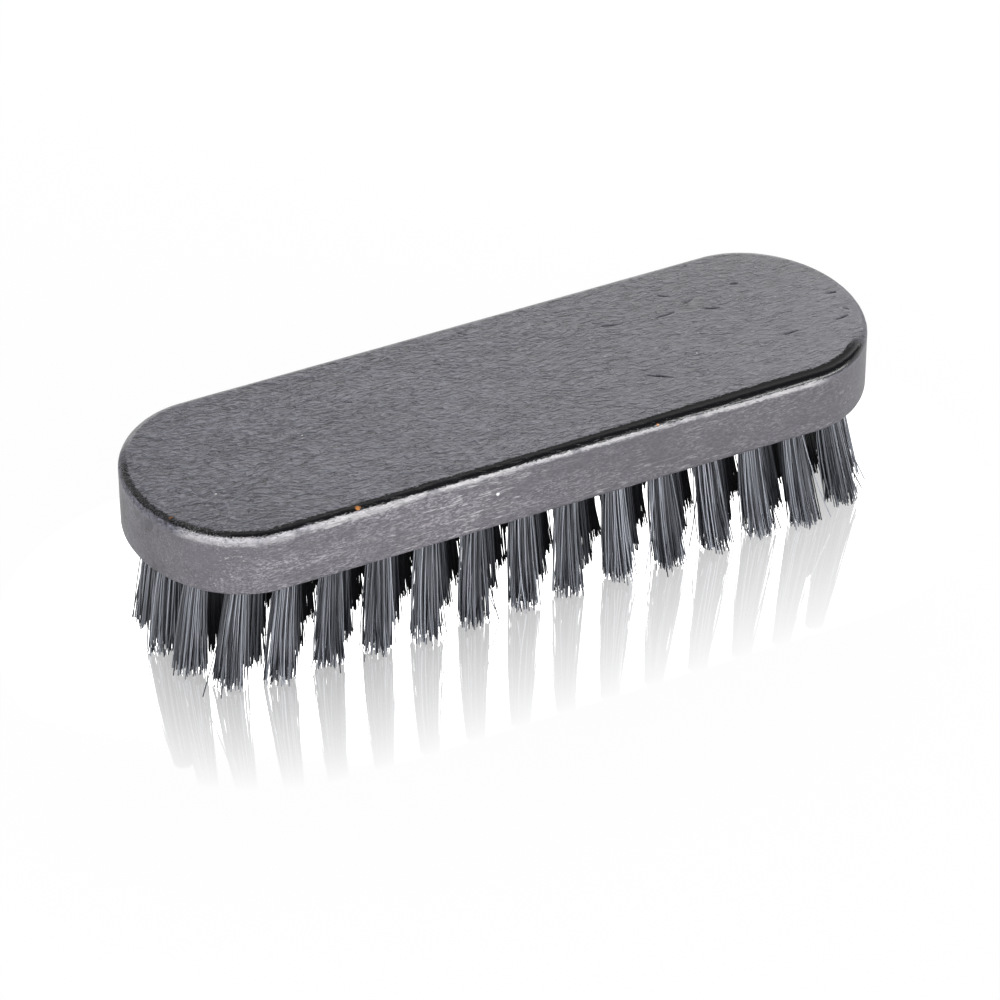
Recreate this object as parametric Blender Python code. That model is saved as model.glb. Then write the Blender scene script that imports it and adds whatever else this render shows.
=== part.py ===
# Leather cleaning brush: a stained wooden block with tufts of nylon strands set in drilled holes.
# Metres, +Z up. +X runs along the block and +Y across it. The origin is at the centre of the
# footprint, on the surface that the trimmed tips stand on.

import math

import bmesh
import bpy
from mathutils import Matrix

MM = 0.001

# Block
SIDE_LENGTH = 110.0 * MM  # straight part of each long side
END_DEPTH = 20.0 * MM  # reach of each rounded end past the straight sides
BLOCK_WIDTH = 46.6 * MM
BLOCK_THICKNESS = 13.3 * MM
END_SEGMENTS = 10  # on each quarter of the outline
TOP_EDGE_RADIUS = 1.5 * MM
BOTTOM_EDGE_RADIUS = 0.9 * MM
EDGE_SEGMENTS = 3

# Tuft pattern
ROW_PITCH = 9.65 * MM  # from tuft to tuft along a row
ROW_COUNT = 6  # rows across the block, counting the rim's two sides
SIDE_INSET = 5.2 * MM  # from the long sides of the block to the centres of the rim's tufts
END_INSET = 7.6 * MM  # the same at the tip of each rounded end
TUFT_GAP = 0.6 * MM  # least space left between the tips of two tufts
END_LEAN = 0.17  # outward slope, along the block, that a tuft has at its very end

# Holes and the roots that fill them
HOLE_DIAMETER = 4.6 * MM
WOOD_OVER_HOLES = 3.7 * MM  # left between the drill's point and the top face
DRILL_POINT_ANGLE = math.radians(118)
ROOT_CLEARANCE = 0.3 * MM
ROOT_SIDES = 8
FOLD_HEIGHT = 2.2 * MM  # wedge at the top of a root, where its strands fold over a wire anchor
FOLD_THICKNESS = 1.3 * MM

# Strands
BRISTLE_LENGTH = 24.6 * MM  # from the underside of the block to the tips
TRIM_DEPTH = 0.5 * MM  # what the last cut takes off, which leaves the tips flat
TIP_DIAMETER = 6.4 * MM  # of a whole tuft, at its tips
STRANDS_PER_TUFT = 6  # one in the middle and the others round it
STRAND_SIDES = 3
STRAND_RADIUS = 0.6 * MM
STRAND_EMBED = 1.2 * MM  # length of a strand inside its root
STRAND_MARGIN = 0.1 * MM  # between the outer strands and the side of the root

# Strips of backing that carry the inner rows
STRIP_WIDTH = 5.6 * MM
STRIP_THICKNESS = 2.0 * MM
STRIP_END_SEGMENTS = 8

CUT_OVERSHOOT = 1.0 * MM  # how far a cutter reaches out of the face that it opens
WELD_DISTANCE = MM / 10000

BLOCK_LENGTH = SIDE_LENGTH + 2 * END_DEPTH
UNDERSIDE = BRISTLE_LENGTH  # height of the block's lower face
DRILL_POINT = HOLE_DIAMETER / 2 / math.tan(DRILL_POINT_ANGLE / 2)
HOLE_DEPTH = BLOCK_THICKNESS - WOOD_OVER_HOLES - DRILL_POINT  # of the straight wall
ROOT_RADIUS = HOLE_DIAMETER / 2 - ROOT_CLEARANCE
TUFT_SPACING = TIP_DIAMETER + TUFT_GAP


def clear_scene():
    for old in list(bpy.data.objects):
        bpy.data.objects.remove(old, do_unlink=True)


def new_collection(name):
    collection = bpy.data.collections.new(name)
    bpy.context.scene.collection.children.link(collection)
    return collection


def new_material(name, color, roughness):
    material = bpy.data.materials.new(name)
    material.use_nodes = True
    shader = material.node_tree.nodes["Principled BSDF"]
    shader.inputs["Base Color"].default_value = (*color, 1.0)
    shader.inputs["Roughness"].default_value = roughness
    shader.inputs["Metallic"].default_value = 0.0
    return material


# Mesh helpers

def merge(target, piece):
    mesh = bpy.data.meshes.new("piece")
    piece.to_mesh(mesh)
    piece.free()
    target.from_mesh(mesh)
    bpy.data.meshes.remove(mesh)


def turned(profile, sides):
    # The profile is a list of radii and heights that starts and ends on the Z axis.
    bm = bmesh.new()
    verts = [bm.verts.new((radius, 0, height)) for radius, height in profile]
    edges = [bm.edges.new(ends) for ends in zip(verts, verts[1:])]
    bmesh.ops.spin(
        bm, geom=verts + edges, cent=(0, 0, 0), axis=(0, 0, 1),
        angle=2 * math.pi, steps=sides, use_merge=True)
    bmesh.ops.remove_doubles(bm, verts=bm.verts, dist=WELD_DISTANCE)
    bmesh.ops.recalc_face_normals(bm, faces=bm.faces)
    return bm


def extruded(outline, bottom, top):
    bm = bmesh.new()
    face = bm.faces.new([bm.verts.new((x, y, bottom)) for x, y in outline])
    lifted = bmesh.ops.extrude_face_region(bm, geom=[face])["geom"]
    upper = [item for item in lifted if isinstance(item, bmesh.types.BMVert)]
    bmesh.ops.translate(bm, verts=upper, vec=(0, 0, top - bottom))
    bmesh.ops.recalc_face_normals(bm, faces=bm.faces)
    return bm


def round_edges_at(bm, height, radius):
    def level(vert):
        return abs(vert.co.z - height) < WELD_DISTANCE

    edges = [edge for edge in bm.edges if all(level(vert) for vert in edge.verts)]
    bmesh.ops.bevel(
        bm, geom=edges, offset=radius, offset_type="OFFSET",
        segments=EDGE_SEGMENTS, profile=0.5, affect="EDGES")


def slanted(slope_x, slope_y=0.0, x=0.0, y=0.0):
    # Moves each point outward by the slope for every unit that it lies below height 0.
    return Matrix(((1, 0, -slope_x, x), (0, 1, -slope_y, y), (0, 0, 1, 0), (0, 0, 0, 1)))


def new_object(name, bm, collection, location=(0, 0, 0)):
    mesh = bpy.data.meshes.new(name)
    bm.to_mesh(mesh)
    bm.free()
    obj = bpy.data.objects.new(name, mesh)
    obj.location = location
    collection.objects.link(obj)
    return obj


def new_part(name, bm, material, location=(0, 0, 0)):
    part = new_object(name, bm, PARTS, location)
    part.data.materials.append(material)
    part.data.shade_smooth()
    part.data.set_sharp_from_angle(angle=math.radians(35))
    part.parent = BRUSH
    return part


def new_tool(name, bm, location=(0, 0, 0)):
    tool = new_object(name, bm, TOOLS, location)
    tool.hide_render = True
    tool.display_type = "WIRE"
    return tool


def combine(part, tool, operation):
    boolean = part.modifiers.new(tool.name, "BOOLEAN")
    boolean.operation = operation
    boolean.object = tool


# Tuft pattern

def end_point(angle, inset):
    # A point of the rounded +X end, moved in from the edge. The angle runs from the side to the tip.
    half_width = BLOCK_WIDTH / 2
    normal_x = math.sin(angle) / END_DEPTH
    normal_y = math.cos(angle) / half_width
    reach = inset / math.hypot(normal_x, normal_y)
    x = SIDE_LENGTH / 2 + END_DEPTH * math.sin(angle) - reach * normal_x
    y = half_width * math.cos(angle) - reach * normal_y
    return x, y


def rim_point(angle):
    # A point of the line that the rim's tufts follow round the +X end.
    inset = SIDE_INSET + (END_INSET - SIDE_INSET) * math.sin(angle) ** 2
    return end_point(angle, inset)


def end_rim(last_straight):
    # Evenly spaced centres from the last tuft of the straight side to the tip of the +X end.
    samples = 200
    side = BLOCK_WIDTH / 2 - SIDE_INSET
    ahead = SIDE_LENGTH / 2 - last_straight
    curve = [(last_straight + ahead * i / samples, side) for i in range(samples)]
    curve += [rim_point(math.pi / 2 * i / samples) for i in range(samples + 1)]
    lengths = [0.0]
    for start, end in zip(curve, curve[1:]):
        lengths.append(lengths[-1] + math.dist(start, end))
    gaps = max(1, round(lengths[-1] / ROW_PITCH))
    centres = []
    for step in range(1, gaps):
        wanted = lengths[-1] * step / gaps
        centres.append(next(point for point, length in zip(curve, lengths) if length >= wanted))
    centres.append((curve[-1][0], 0.0))
    return centres


def rim_centres():
    side = BLOCK_WIDTH / 2 - SIDE_INSET
    steps = int(SIDE_LENGTH / 2 / ROW_PITCH)
    straight_row = [((step + 0.5) * ROW_PITCH, side) for step in range(steps)]
    quarter = straight_row + end_rim(straight_row[-1][0])
    centres = set()
    for x, y in quarter:
        centres.update({(x, y), (-x, y), (x, -y), (-x, -y)})
    return sorted(centres, key=lambda centre: math.atan2(centre[1], centre[0]))


def stands_clear(x, y, others):
    return all(math.dist((x, y), other) >= TUFT_SPACING for other in others)


def inner_row(number, rim):
    # Rows are numbered from the rim's -Y side. Each is set off by half a pitch from the row outside it.
    spacing = (BLOCK_WIDTH - 2 * SIDE_INSET) / (ROW_COUNT - 1)
    y = (number - (ROW_COUNT - 1) / 2) * spacing
    from_side = min(number, ROW_COUNT - 1 - number)
    x = 0.0 if from_side % 2 else ROW_PITCH / 2
    row = []
    while stands_clear(x, y, rim) and x < BLOCK_LENGTH / 2 - END_INSET:
        row.append(x)
        x += ROW_PITCH
    neighbours = rim + [(row[-1], y)]
    spare = BLOCK_LENGTH / 2 - END_INSET - row[-1]
    spots = [row[-1] + spare * step / 50 for step in range(1, 50)]
    last = max(spots, key=lambda spot: min(math.dist((spot, y), other) for other in neighbours))
    if stands_clear(last, y, neighbours):
        row.append(last)
    return sorted({(side * x, y) for x in row for side in (-1, 1)})


def lean(x):
    return END_LEAN * x / (BLOCK_LENGTH / 2)


# Tufts. Each is made with its root at height 0, where the strands come out of the block.

def hole():
    radius = HOLE_DIAMETER / 2
    wall = [(radius, -CUT_OVERSHOOT), (radius, HOLE_DEPTH)]
    return turned([(0, -CUT_OVERSHOOT), *wall, (0, HOLE_DEPTH + DRILL_POINT)], ROOT_SIDES)


def root(bottom, fold_angle):
    # A packed bundle of strands, pressed flat at its top where it folds over the anchor inside it.
    top = HOLE_DEPTH - ROOT_CLEARANCE
    side = [(ROOT_RADIUS, height) for height in (bottom, top - FOLD_HEIGHT, top)]
    bm = turned([(0, bottom), *side, (0, top)], ROOT_SIDES)
    ridge = [vert for vert in bm.verts if vert.co.z > top - WELD_DISTANCE]
    press = Matrix.Diagonal((1.0, FOLD_THICKNESS / (2 * ROOT_RADIUS), 1.0, 1.0))
    bmesh.ops.transform(bm, matrix=press, verts=ridge)
    bmesh.ops.rotate(bm, matrix=Matrix.Rotation(fold_angle, 3, "Z"), verts=bm.verts)
    return bm


def strand(angle, from_middle):
    # The strand runs outward from its place at the root to its place at the tips.
    root_ring = ROOT_RADIUS - STRAND_MARGIN - STRAND_RADIUS
    tip_ring = TIP_DIAMETER / 2 - STRAND_RADIUS
    start = from_middle * root_ring
    spread = from_middle * (tip_ring - root_ring) / BRISTLE_LENGTH
    low = -(BRISTLE_LENGTH + TRIM_DEPTH)
    bm = bmesh.new()
    bmesh.ops.create_cone(
        bm, cap_ends=True, segments=STRAND_SIDES, radius1=STRAND_RADIUS, radius2=STRAND_RADIUS,
        depth=STRAND_EMBED - low, matrix=Matrix.Translation((0, 0, (STRAND_EMBED + low) / 2)))
    out = (math.cos(angle), math.sin(angle))
    corner = Matrix.Rotation(angle - math.pi / 2, 4, "Z")
    path = slanted(spread * out[0], spread * out[1], start * out[0], start * out[1])
    bmesh.ops.transform(bm, matrix=path @ corner, verts=bm.verts)
    return bm


def strands(turn):
    bm = bmesh.new()
    merge(bm, strand(turn, 0.0))
    around = STRANDS_PER_TUFT - 1
    for number in range(around):
        merge(bm, strand(turn + 2 * math.pi * number / around, 1.0))
    return bm


def trim(bm):
    cut = bmesh.ops.bisect_plane(
        bm, geom=bm.verts[:] + bm.edges[:] + bm.faces[:], plane_co=(0, 0, -BRISTLE_LENGTH),
        plane_no=(0, 0, -1), clear_outer=True)["geom_cut"]
    rims = [item for item in cut if isinstance(item, bmesh.types.BMEdge)]
    bmesh.ops.holes_fill(bm, edges=rims)
    bmesh.ops.recalc_face_normals(bm, faces=bm.faces)


def tuft_pieces(x, y, root_bottom):
    # The root and the strands that are joined to it, both leaning as their hole does.
    turn = math.atan2(y, x)
    packed = root(root_bottom, turn)
    bmesh.ops.transform(packed, matrix=slanted(lean(x)), verts=packed.verts)
    loose = strands(turn)
    bmesh.ops.transform(loose, matrix=slanted(lean(x)), verts=loose.verts)
    trim(loose)
    return packed, loose


def make_rim_tuft(number, x, y, material):
    name = f"rim_tuft_{number:02d}"
    place = (x, y, UNDERSIDE)
    packed, loose = tuft_pieces(x, y, 0.0)
    tuft = new_part(name, packed, material, place)
    combine(tuft, new_tool("strands of " + name, loose, place), "UNION")


def strip_outline(half_length, width):
    # A straight strip with round ends.
    outline = []
    for side in (1, -1):
        for step in range(STRIP_END_SEGMENTS + 1):
            angle = side * math.pi / 2 * (2 * step / STRIP_END_SEGMENTS - 1)
            x = side * half_length + width / 2 * math.cos(angle) * side
            outline.append((x, width / 2 * math.sin(angle)))
    return outline


def make_inner_row(name, centres, material):
    last_x, row_y = centres[-1]
    place = (0, row_y, UNDERSIDE)
    bar = extruded(strip_outline(last_x, STRIP_WIDTH), 0, STRIP_THICKNESS)
    strip = new_part(name, bar, material, place)
    roots = bmesh.new()
    bristles = bmesh.new()
    for x, y in centres:
        packed, loose = tuft_pieces(x, y, STRIP_THICKNESS / 2)
        for piece, group in ((packed, roots), (loose, bristles)):
            bmesh.ops.translate(piece, verts=piece.verts, vec=(x, 0, 0))
            merge(group, piece)
    combine(strip, new_tool("roots of " + name, roots, place), "UNION")
    combine(strip, new_tool("strands of " + name, bristles, place), "UNION")


# Block

def block_outline():
    corner = [end_point(math.pi / 2 * step / END_SEGMENTS, 0.0) for step in range(END_SEGMENTS + 1)]
    right = corner + [(x, -y) for x, y in reversed(corner[:-1])]
    return right + [(-x, -y) for x, y in right]


def make_block(material, rim, rows):
    bm = extruded(block_outline(), UNDERSIDE, UNDERSIDE + BLOCK_THICKNESS)
    round_edges_at(bm, UNDERSIDE + BLOCK_THICKNESS, TOP_EDGE_RADIUS)
    round_edges_at(bm, UNDERSIDE, BOTTOM_EDGE_RADIUS)
    block = new_part("wooden_block", bm, material)

    channels = bmesh.new()
    for centres in rows.values():
        outline = strip_outline(centres[-1][0], STRIP_WIDTH + 2 * ROOT_CLEARANCE)
        channel = extruded(outline, UNDERSIDE - CUT_OVERSHOOT, UNDERSIDE + STRIP_THICKNESS + ROOT_CLEARANCE)
        bmesh.ops.translate(channel, verts=channel.verts, vec=(0, centres[0][1], 0))
        merge(channels, channel)
    combine(block, new_tool("channels", channels), "DIFFERENCE")

    holes = bmesh.new()
    for x, y in rim + [centre for centres in rows.values() for centre in centres]:
        drilled = hole()
        place = Matrix.Translation((x, y, UNDERSIDE))
        bmesh.ops.transform(drilled, matrix=place @ slanted(lean(x)), verts=drilled.verts)
        merge(holes, drilled)
    combine(block, new_tool("holes", holes), "DIFFERENCE")


clear_scene()
PARTS = new_collection("leather_cleaning_brush")
TOOLS = new_collection("cutters")
BRUSH = bpy.data.objects.new("brush_frame", None)
PARTS.objects.link(BRUSH)

STAINED_WOOD = new_material("stained_wood", (0.035, 0.034, 0.036), 0.42)
BLACK_NYLON = new_material("black_nylon", (0.02, 0.021, 0.023), 0.35)

RIM = rim_centres()
ROWS = {f"inner_row_{number}": inner_row(number, RIM) for number in range(1, ROW_COUNT - 1)}

make_block(STAINED_WOOD, RIM, ROWS)
for tuft_number, (tuft_x, tuft_y) in enumerate(RIM, 1):
    make_rim_tuft(tuft_number, tuft_x, tuft_y, BLACK_NYLON)
for row_name, row_centres in ROWS.items():
    make_inner_row(row_name, row_centres, BLACK_NYLON)

TUFT_COUNT = len(RIM) + sum(len(centres) for centres in ROWS.values())
print("tufts", TUFT_COUNT, "strands", TUFT_COUNT * STRANDS_PER_TUFT)
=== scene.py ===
import math
import random

import bmesh
import bpy
from mathutils import Matrix, Vector, geometry, noise


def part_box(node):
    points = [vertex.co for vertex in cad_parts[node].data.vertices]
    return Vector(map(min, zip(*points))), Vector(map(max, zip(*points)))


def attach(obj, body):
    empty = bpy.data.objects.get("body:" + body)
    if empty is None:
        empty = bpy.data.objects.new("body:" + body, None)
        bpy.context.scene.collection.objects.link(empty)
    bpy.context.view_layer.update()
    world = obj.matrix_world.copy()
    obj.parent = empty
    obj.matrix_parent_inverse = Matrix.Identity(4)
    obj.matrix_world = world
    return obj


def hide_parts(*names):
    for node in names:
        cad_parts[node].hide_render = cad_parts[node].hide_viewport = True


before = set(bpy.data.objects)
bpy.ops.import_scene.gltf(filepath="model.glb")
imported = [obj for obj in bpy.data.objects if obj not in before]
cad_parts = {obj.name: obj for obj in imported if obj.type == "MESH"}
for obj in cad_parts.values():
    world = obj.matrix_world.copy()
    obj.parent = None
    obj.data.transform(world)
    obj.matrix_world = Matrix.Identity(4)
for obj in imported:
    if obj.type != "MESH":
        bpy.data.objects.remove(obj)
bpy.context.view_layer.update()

mm = 0.001
blockLow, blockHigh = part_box("wooden_block")
underside = blockLow.z
print("frame loaded:", len(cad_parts), "nodes")


# camera, placed from the centre of the block's top face

cameraView = {
    "azimuth": -26.66,  # degrees, 0 looks along +Y
    "elevation": 35.39,
    "roll": -0.18,
    "distance": 955.0 * mm,
    "shiftRight": -0.08 * mm,
    "shiftUp": 21.0 * mm,
    "lens": 184.54,
    "sensor": 36.0,
    "clip": (0.05, 20.0),
}


def wayTowards(azimuth, elevation):
    # degrees, seen from the brush: azimuth 0 is its front
    azimuth, elevation = math.radians(azimuth), math.radians(elevation)
    return Vector((math.sin(azimuth) * math.cos(elevation),
                   -math.cos(azimuth) * math.cos(elevation),
                   math.sin(elevation)))


def addCamera(settings):
    azimuth, roll = math.radians(settings["azimuth"]), math.radians(settings["roll"])
    back = wayTowards(settings["azimuth"], settings["elevation"])
    level = Vector((math.cos(azimuth), math.sin(azimuth), 0.0))
    up = back.cross(level)
    right = math.cos(roll) * level + math.sin(roll) * up
    upright = math.cos(roll) * up - math.sin(roll) * level
    data = bpy.data.cameras.new("photoCamera")
    data.lens = settings["lens"]
    data.sensor_width = settings["sensor"]
    data.clip_start, data.clip_end = settings["clip"]
    camera = bpy.data.objects.new("photoCamera", data)
    topCentre = Vector((0.0, 0.0, blockHigh.z))
    place = topCentre + back * settings["distance"]
    place = place - right * settings["shiftRight"] - upright * settings["shiftUp"]
    turn = Matrix((right, upright, back)).transposed().to_4x4()
    camera.matrix_world = Matrix.Translation(place) @ turn
    bpy.context.scene.collection.objects.link(camera)
    bpy.context.scene.camera = camera


addCamera(cameraView)
print("camera placed")


# node helpers

def addNode(tree, kind, values=None, **settings):
    node = tree.nodes.new(kind)
    count = len(tree.nodes)
    node.location = (count % 9 * 230, -(count // 9) * 280)
    for name, value in settings.items():
        setattr(node, name, value)
    for key, value in (values or {}).items():
        if isinstance(value, bpy.types.NodeSocket):
            tree.links.new(value, node.inputs[key])
        else:
            node.inputs[key].default_value = value
    return node


def sums(tree, operation, *values, clamp=False):
    node = addNode(tree, "ShaderNodeMath", dict(enumerate(values)), operation=operation, use_clamp=clamp)
    return node.outputs[0]


def added(tree, first, *others):
    for other in others:
        first = sums(tree, "ADD", first, other)
    return first


def times(tree, first, *others):
    for other in others:
        first = sums(tree, "MULTIPLY", first, other)
    return first


def swing(tree, value, reach):
    return times(tree, sums(tree, "SUBTRACT", value, 0.5), reach)


def vectors(tree, operation, *values):
    node = addNode(tree, "ShaderNodeVectorMath", dict(enumerate(values)), operation=operation)
    return node.outputs["Value" if operation in ("DOT_PRODUCT", "LENGTH", "DISTANCE") else "Vector"]


def scaled(tree, vector, factor):
    node = addNode(tree, "ShaderNodeVectorMath", {0: vector, "Scale": factor}, operation="SCALE")
    return node.outputs["Vector"]


def remap(tree, value, fromLow, fromHigh, toLow=0.0, toHigh=1.0, smooth=True):
    values = {0: value, 1: fromLow, 2: fromHigh, 3: toLow, 4: toHigh}
    kind = "SMOOTHSTEP" if smooth else "LINEAR"
    return addNode(tree, "ShaderNodeMapRange", values, interpolation_type=kind).outputs[0]


def mixNumbers(tree, share, first, second):
    return addNode(tree, "ShaderNodeMix", {0: share, 2: first, 3: second}, data_type="FLOAT").outputs[0]


def mixColours(tree, share, first, second):
    return addNode(tree, "ShaderNodeMix", {0: share, 6: first, 7: second}, data_type="RGBA").outputs[2]


def paint(tree, under, share, colour):
    return mixColours(tree, share, under, (*colour, 1.0))


def noiseAt(tree, place, detail, roughness=0.5, distortion=0.0):
    values = {"Vector": place, "Scale": 1.0, "Detail": detail,
              "Roughness": roughness, "Distortion": distortion}
    return addNode(tree, "ShaderNodeTexNoise", values).outputs


def attribute(tree, name):
    return addNode(tree, "ShaderNodeAttribute", attribute_name=name).outputs["Fac"]


def placeInMm(tree):
    return scaled(tree, addNode(tree, "ShaderNodeTexCoord").outputs["Object"], 1 / mm)


def grey(level):
    return (level, level, level, 1.0)


def newMaterial(name):
    material = bpy.data.materials.new(name)
    material.use_nodes = True
    return material, material.node_tree, material.node_tree.nodes["Principled BSDF"]


# stained wood: grain runs along X, and every pattern is measured in millimetres

stainedWood = {
    "flat": (0.110, 0.109, 0.141),
    "flatDark": (0.064, 0.063, 0.085),
    # pale: grain rubbed paler, with painted highlight on the high grain
    "ridgeWearAndHighlight": (0.235, 0.233, 0.285),
    # dark: pores and stain, and painted shade in the grain's hollows
    "pore": (0.026, 0.025, 0.029),
    # near-black: painted dark reflection on the front edge's band, and painted shade in the cracks
    "rim": (0.005, 0.005, 0.006),
    "side": (0.060, 0.057, 0.067),
    # whitish scuffs on the side, which also stand as painted sheen flecks
    "scuff": (0.235, 0.222, 0.245),
    # pale: painted highlight along the front and rear edges, and painted sheen in the side's strokes
    "edgeHighlight": (0.42, 0.41, 0.42),
    "bareWood": (0.42, 0.17, 0.05),
    "underside": (0.050, 0.046, 0.044),
    "nick": (0.30, 0.295, 0.32),
    "speck": (0.6, 0.6, 0.6),
    "ridgeWearAndHighlightShare": 0.46,
    "hollowStainAndShadeShare": 0.68,
    "sidePoreShare": 0.25,
    "scuffAndSheenShare": 0.9,
    "strokeShare": 0.62,
    "endStainShare": 0.65,
    "nickShare": 0.6,
    "crackShadeShare": 0.95,
    "speckleMix": (0.55, 0.45),  # shares of streaks and speckles
    "roughness": (0.37, 0.20),  # lowest, and what the ridges add
    "heights": {"relief": 2.4, "wander": 0.8, "pores": -0.9, "cuts": 0.8, "fine": 0.10},
    "heightUnit": 0.165 * mm,
    "ior": 1.5,
}

woodPatterns = {  # turns a mm along and across the grain, shift, detail; roughness, distortion, angle
    "wander": (0.16, 0.60, 0.0, 3.0, 0.55, 0.8),
    "ridges": (0.62, 2.1, 5.0, 5.0, 0.62, 1.3),
    "cuts": (0.80, 2.0, 5.0, 2.0, 0.5, 0.5),
    "clouds": (0.05, 0.09, 7.0, 4.0, 0.6),
    "streaks": (0.50, 2.3, 17.0, 5.0, 0.68, 1.6),
    "patches": (0.07, 0.16, 41.0, 3.0, 0.6),
    "fine": (2.2, 4.5, 3.0, 3.0, 0.6),
    "commas": (0.50, 1.60, 31.0, 2.0, 0.5, 0.9, 8.0),
    "liftOneWay": (0.46, 1.12, 5.0, 2.0, 0.5, 0.8, 22.0),
    "liftOtherWay": (0.46, 1.12, 9.0, 2.0, 0.5, 0.8, -10.0),
    "liftPatches": (0.11, 0.20, 67.0, 2.0),
    "liftStrength": (0.09, 0.15, 73.0, 3.0, 0.6),
    "highlightGaps": (0.22, 0.22, 53.0, 3.0, 0.6),
    "speckles": (1.3, 3.6, 23.0, 2.0, 0.6, 0.8),
    "strokes": (0.30, 2.9, 71.0, 2.5, 0.55, 0.7),
    "strokePatches": (0.07, 0.16, 83.0, 2.0),
    "endStains": (1.1, 0.16, 61.0, 4.0, 0.6, 0.5),
    "nicks": (0.95, 2.6, 91.0, 1.0, 0.5, 0.6, 8.0),
}

woodRanges = {  # from and to, and the values there where they aren't 0 and 1
    # of a pattern's value
    "clouds": (0.3, 0.7),
    "pores": (0.56, 0.68),
    "liftPatches": (0.43, 0.57),
    "liftStrength": (0.36, 0.62, 0.80, 1.15),
    "raisedRelief": (0.50, 0.66, 0.0, 0.55),
    "raisedCuts": (0.50, 0.64, 0.0, 0.45),
    "hollowRelief": (0.56, 0.36, 0.0, 0.6),
    "hollowCuts": (0.47, 0.34, 0.0, 0.5),
    "bandSpeckles": (0.38, 0.48, 0.3, 1.0),
    "highlightGaps": (0.34, 0.46, 0.35, 1.0),
    "highlightStreaks": (0.32, 0.55, 0.45, 1.0),
    "scuffsAndSheen": (0.46, 0.60),
    "scuffAndSheenPatches": (0.36, 0.60, 0.35, 1.0),
    "strokes": (0.585, 0.67),
    "strokePatches": (0.44, 0.56),
    "endStains": (0.50, 0.62),
    "nicks": (0.70, 0.76),
    "cracks": (0.03, 0.42),
    # along X
    "bandRaggedness": (-60.0, -10.0, 1.4, 0.9),
    "bandInner": (-20.0, 60.0, 0.0, -0.75),
    "bandSlant": (-60.0, 60.0, -13.0, 13.0),
    "bandWholeEnd": (-72.0, -64.0),
    "highlightOuter": (-42.0, -22.0, 3.0, 2.6),
    "highlightWider": (0.0, 60.0, 0.0, 0.45),
    "highlightAlong": (-58.0, -38.0, 0.62, 0.84),
    "highlightRightEnd": (59.0, 53.0),
    "rearAlong": (-70.0, 60.0, 0.8, 0.45),
    "deeperAlong": (-45.0, 30.0),
    "worked": (-60.0, 75.0, 1.0, 0.5),
    "poresAlong": (-60.0, 60.0, 0.64, 0.54),
    "stainAlong": (-20.0, 50.0, 0.0, 0.20),
    "sideStainAlong": (-30.0, 20.0, 0.0, 0.27),
    "scuffAndSheenEnds": (54.0, 72.0, 1.0, 0.35),
    "scuffAndSheenAlong": (-35.0, 15.0, 1.0, 0.64),
    "stainedEnd": (-72.0, -74.0),
    "heightAlong": (-75.0, 75.0, 1.5, 0.27),
    # across Y
    "bandFront": (-1.5, -5.5),
    "highlightAcross": (11.5, 15.0),
    "rearAcross": (11.0, 17.0),
    "deeperAcross": (-2.0, 14.0, 0.54, 1.0),
    "stainAcross": (-12.0, 16.0, 0.8, 1.8),
    # down from the flat's edge
    "bandInnerBlend": (-0.16, 0.0),
    "bandOuterBlend": (0.10, -0.10),
    "highlightInnerBlend": (0.0, 0.2),
    "highlightOuterBlend": (0.45, -0.25),
    "rearInnerBlend": (-0.15, 0.25),
    "rearOuterBlend": (1.4, 0.8),
    "sideFrom": (2.2, 3.2),
    "undersideFrom": (13.8, 15.0),
    "glossFrom": (-0.1, 1.2, 1.0, 0.22),
    # how much of the relief stays
    "heightOnSide": (0.0, 1.0, 1.0, 0.30),
    "heightOnBand": (0.0, 1.0, 1.0, 0.25),
}

blackBand = {  # mm
    "outer": 1.80,
    "widening": 0.0080,  # for each mm towards the right
}

raggedness = {
    "ridges": 1.5,  # mm: these two together are the common raggedness
    "fine": 0.9,
    "highlightAcross": 5.0,
    "highlightAlong": 40.0,
    "spots": 1.1,
    "specks": 0.5,  # share of the spots' raggedness
    "bandOuter": 0.8,  # shares of the common raggedness
    "bandFront": 3.0,
    "highlightRightEnd": 4.0,
    "rearInner": 0.35,
}

bareSpots = [  # mm: place on the rim and radius
    (-71.3, -10.4, 37.3, 0.70),
    (-68.3, -15.8, 37.2, 0.34),
    (-40.0, -22.5, 37.4, 0.62),
    (21.1, -23.0, 36.9, 0.30),
]
spotCore = 0.55  # share of the radius that is fully bare

whiteSpecks = [
    (-61.2, -7.4, 37.9, 0.24),
    (-42.7, 4.2, 37.9, 0.16),
    (-39.4, 2.5, 37.9, 0.16),
    (-61.1, 8.5, 37.9, 0.15),
    (38.3, -6.6, 37.9, 0.17),
    (-12.1, -23.3, 32.1, 0.40),
]


def grainPattern(tree, place, along, across, shift, detail, roughness=0.5, distortion=0.0, angle=0.0):
    if angle:
        values = {"Vector": place, "Angle": math.radians(angle)}
        place = addNode(tree, "ShaderNodeVectorRotate", values, rotation_type="Z_AXIS").outputs[0]
    place = vectors(tree, "ADD", place, (shift, shift * 0.7, shift * 0.3))
    place = vectors(tree, "MULTIPLY", place, (along, across, across))
    return noiseAt(tree, place, detail, roughness, distortion)["Fac"]


def ranged(tree, value, name, smooth=True):
    return remap(tree, value, *woodRanges[name], smooth=smooth)


def woodFields(tree):
    # the place in mm, every pattern there, and how far down from the flat's edge it lies
    place = placeInMm(tree)
    split = addNode(tree, "ShaderNodeSeparateXYZ", {0: place}).outputs
    at = {name: grainPattern(tree, place, *pattern) for name, pattern in woodPatterns.items()}
    at.update(place=place, x=split[0], y=split[1])
    at["reached"] = attribute(tree, "fromEdge")
    at["side"] = ranged(tree, at["reached"], "sideFrom")
    at["ragged"] = added(tree, *(swing(tree, at[name], raggedness[name]) for name in ("ridges", "fine")))
    at["pores"] = ranged(tree, at["commas"], "pores")
    # the grain lifts in two directions, in patches
    either = ranged(tree, at["liftPatches"], "liftPatches")
    at["relief"] = mixNumbers(tree, either, at["liftOneWay"], at["liftOtherWay"])
    return at


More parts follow.
